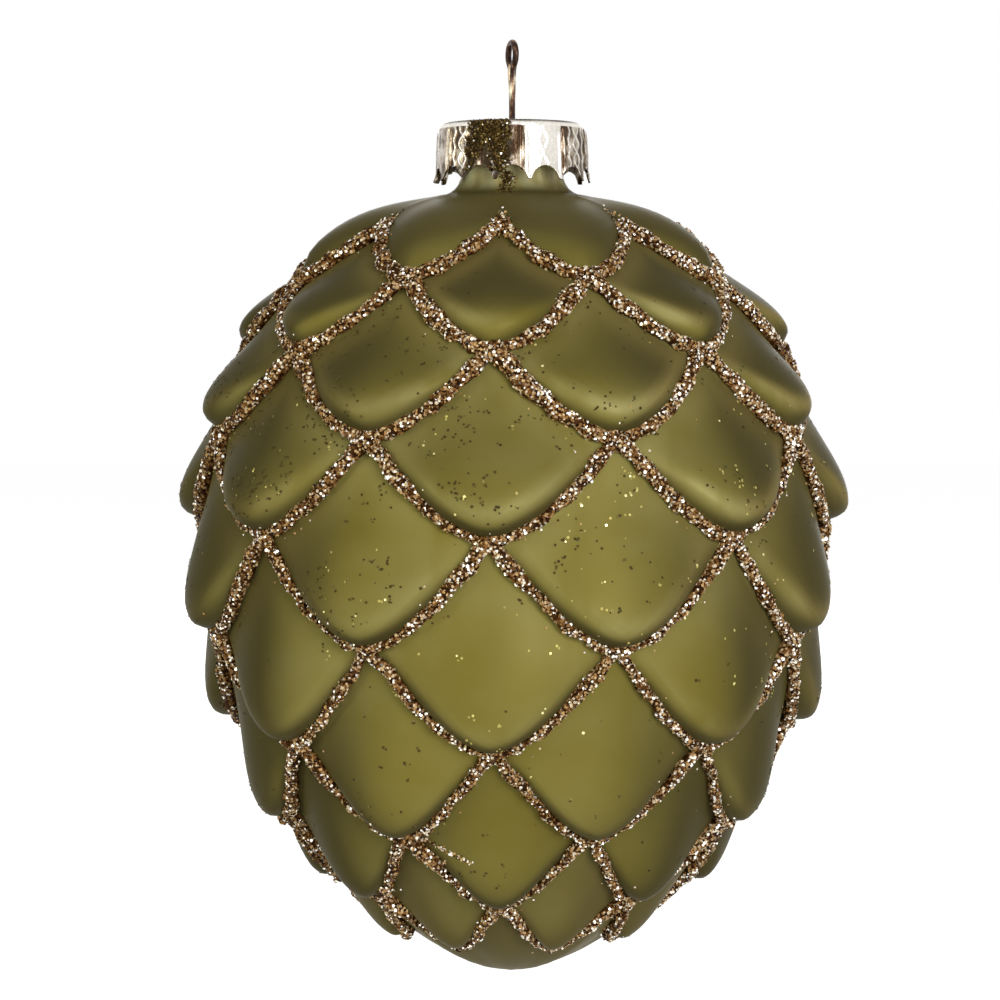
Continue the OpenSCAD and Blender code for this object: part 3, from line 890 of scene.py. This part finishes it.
def wirePiece(material):
    track, low, high = wireTrack(9)
    bm = bmesh.new()
    worn = bm.verts.layers.float.new("worn")
    lengths = len(track) + 1
    for vert in bmesh.ops.create_grid(bm, x_segments=lengths, y_segments=hanger["sides"], size=0.5)["verts"]:
        # the first and the last row close the ends
        station = round((vert.co.x + 0.5) * lengths) - 1
        a = vert.co.y * 360
        y, z, h = track[min(max(station, 0), len(track) - 1)]
        thick = hanger["wire"] / 2 if 0 <= station < len(track) else 0
        thick *= 1 + 0.05 * noise.noise(Vector((y, z, a / 90)) * 1.5)
        twist = hanger["eyeTurn"] * min(max((z - low) / (high - low), 0), 1)
        x = thick * sind(a)
        y -= thick * cosd(a) * sind(h)
        z += thick * cosd(a) * cosd(h) + hungBy
        # painted highlight: a cream stretch high on one strand and a lower one on the other
        vert[worn] = max(hump(z, -4.5, 0.9) * (x > 0.1), hump(z, -6.5, 0.8) * (x < -0.1))
        vert.co = (x * cosd(twist) - y * sind(twist), x * sind(twist) + y * cosd(twist), z)
    bmesh.ops.remove_doubles(bm, verts=bm.verts, dist=0.003)
    bmesh.ops.recalc_face_normals(bm, faces=bm.faces)
    finishPiece(bm, "copper_hanger", material, "hanger_wire")


# camera in mm; lamps in metres and watts
view = {"distance": 450, "down": 2.7, "target": (-1.73, 0, -64.96), "across": 143.8}
studio = {"ambient": 0.06, "floorGlow": 0.94, "floorSize": 3000, "floorHeight": -165, "aim": (0, 0, -0.07)}
lamps = {
    "key": {"place": (0.42, -1.03, 0.14), "size": (0.6, 0.6), "power": 7.3, "colour": (0.95, 0.92, 0.97)},
    "frontLeft": {"place": (-0.45, -1.0, 0.0), "size": (0.5, 0.7), "power": 0.9, "colour": (1.0, 0.97, 0.8)},
    "left": {"place": (-1.0, -0.45, -0.05), "size": (0.4, 0.8), "power": 3.6, "colour": (1.0, 0.97, 0.75)},
    "back": {"place": (0.1, 1.15, 0.1), "size": (0.9, 0.9), "power": 5.0, "colour": (1, 1, 1)},
}


def makeCamera():
    down = math.radians(view["down"])
    look = Vector((0, math.cos(down), -math.sin(down)))
    data = bpy.data.cameras.new("camera")
    data.sensor_width = 36
    data.lens = 36 * view["distance"] / view["across"]
    data.clip_start, data.clip_end = 0.01, 20
    camera = bpy.data.objects.new("camera", data)
    camera.location = (Vector(view["target"]) - look * view["distance"]) * mm
    camera.rotation_mode = "QUATERNION"
    camera.rotation_quaternion = look.to_track_quat("-Z", "Y")
    scene.collection.objects.link(camera)
    scene.camera = camera


def makeLamp(name, place, size, power, colour):
    data = bpy.data.lights.new(name, "AREA")
    data.shape = "RECTANGLE"
    data.size, data.size_y = size
    data.energy = power
    data.color = colour
    lamp = bpy.data.objects.new(name, data)
    lamp.location = place
    lamp.rotation_mode = "QUATERNION"
    lamp.rotation_quaternion = (Vector(studio["aim"]) - Vector(place)).to_track_quat("-Z", "Y")
    scene.collection.objects.link(lamp)


def makeWorld():
    tree = Tree("studio_air", bpy.data.worlds)
    strength = studio["ambient"] + (1 - studio["ambient"]) * tree.seenPlain()
    scene.world = tree.output(tree.build("Background", Color=(1, 1, 1), Strength=strength))


def paleFloor():
    tree = Tree("pale_floor")
    colour = tree.ramp(tree.noise(tree.objectPlace(), 4), [(0, (0.78, 0.78, 0.78)), (1, (0.82, 0.82, 0.82))])
    plain = tree.build("BsdfDiffuse", Color=colour)
    glow = tree.build("Emission", Color=(1, 1, 1), Strength=studio["floorGlow"])
    return tree.output(tree.mixShader(tree.seenPlain(), plain, tree.build("AddShader", in0=plain, in1=glow)))


def makeFloor(material):
    bm = bmesh.new()
    low = Matrix.Translation((0, 0, studio["floorHeight"]))
    bmesh.ops.create_grid(bm, x_segments=8, y_segments=8, size=studio["floorSize"], matrix=low)
    mesh = bpy.data.meshes.new("floor")
    bm.to_mesh(mesh)
    bm.free()
    mesh.transform(Matrix.Scale(mm, 4))
    mesh.materials.append(material)
    floor = bpy.data.objects.new("floor", mesh)
    scene.collection.objects.link(floor)


scene.view_settings.view_transform = "Standard"
makeCamera()
makeWorld()
makeFloor(paleFloor())
for lampName, settings in lamps.items():
    makeLamp(lampName, **settings)
print("stage, camera and lamps made")

shell = glassPiece(satinGlass()).data
glass = BVHTree.FromPolygons([v.co for v in shell.vertices], [p.vertices for p in shell.polygons])
capPiece(stampedMetal())
wirePiece(copperWire())
glitterPieces(copperGlue(), copperFlakes(), glass)
fleckPieces()
spillPiece()

print("finished")
